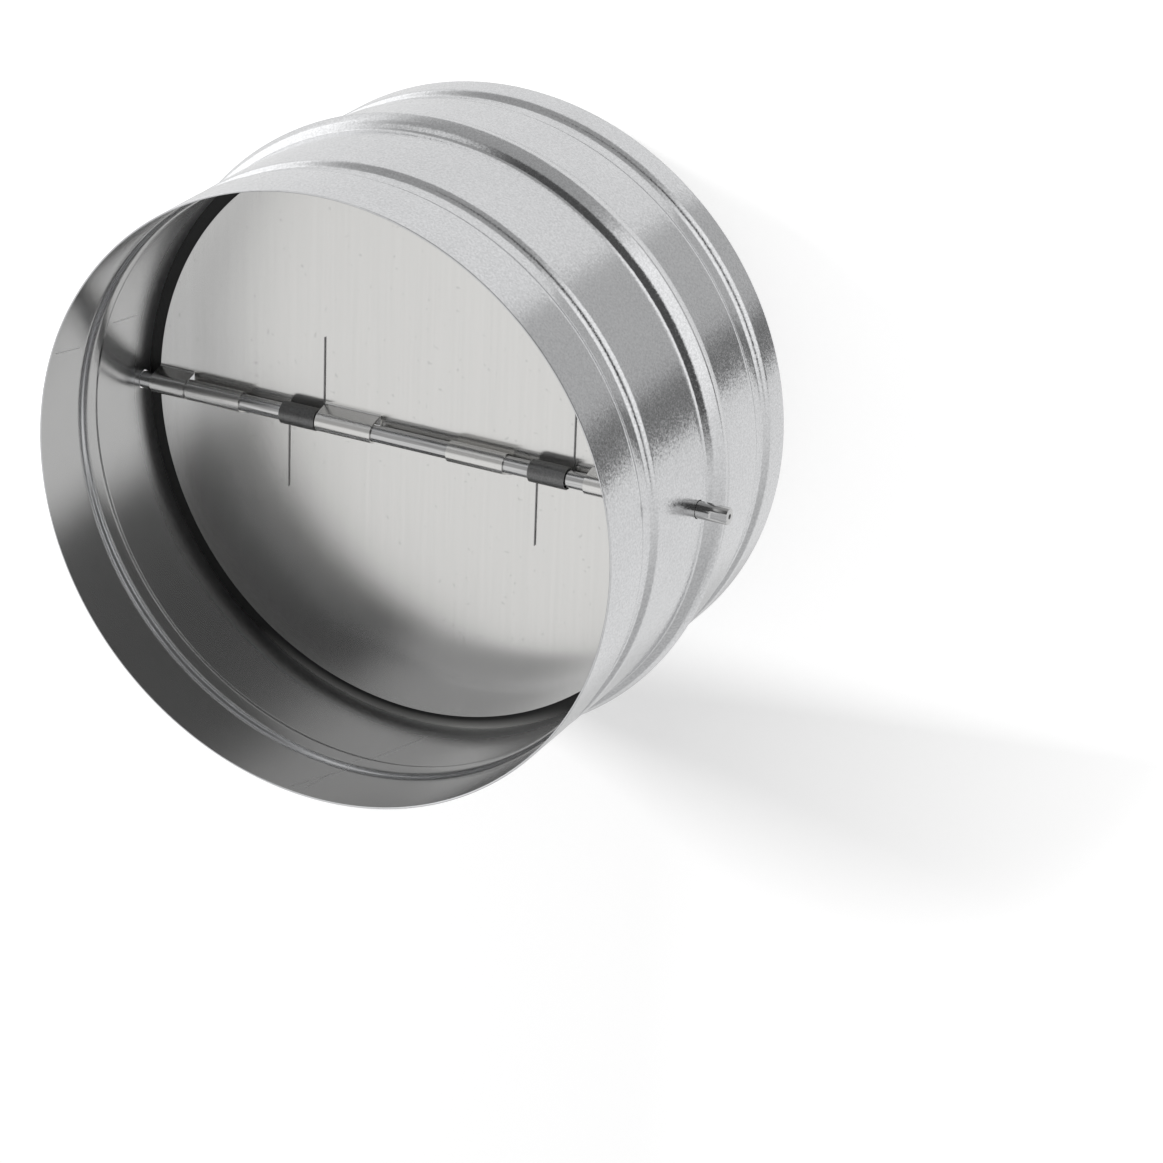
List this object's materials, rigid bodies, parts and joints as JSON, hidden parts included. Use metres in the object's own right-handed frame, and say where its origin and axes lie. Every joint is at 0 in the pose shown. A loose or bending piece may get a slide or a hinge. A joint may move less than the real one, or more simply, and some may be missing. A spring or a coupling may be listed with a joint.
{
  "type": "duct backdraft damper",
  "caption": "Round duct section with a raised bead, closed by spring-loaded half-round blades on a cross shaft that let air pass one way only.",
  "frame": {"origin": "centre of the inlet rim's plane", "axes": "+Z along the duct, the way the air flows, from the inlet rim to the outlet rim; +X along the cross shaft"},
  "size_m": [0.22, 0.2064, 0.1213],
  "materials": {
    "galvanised_sheet": "zinc coated, fine spangle",
    "blade_sheet": "mill finish, fine rolling grain",
    "bright_bar": "bright drawn",
    "spring_wire": "dark oiled",
    "seal_rubber": "matt black"
  },
  "bodies": {
    "casing": {"casing": "galvanised_sheet", "seal_ring": "seal_rubber", "shaft": "bright_bar", "spring_left": "spring_wire", "spring_right": "spring_wire"},
    "blade_upper": {"blade_upper": "blade_sheet"},
    "blade_lower": {"blade_lower": "blade_sheet"}
  },
  "joints": [
    {"name": "upper_blade_hinge", "type": "hinge", "parent": "casing", "child": "blade_upper", "pos_m": [0, 0, 0.062], "axis": [1, 0, 0], "range_deg": [0, 88], "stiffness_Nm_per_rad": 0.02, "springref_deg": -28.65, "deforming": ["spring_left", "spring_right"]},
    {"name": "lower_blade_hinge", "type": "hinge", "parent": "casing", "child": "blade_lower", "pos_m": [0, 0, 0.062], "axis": [-1, 0, 0], "range_deg": [0, 88], "stiffness_Nm_per_rad": 0.02, "springref_deg": -28.65, "deforming": ["spring_left", "spring_right"]}
  ]
}
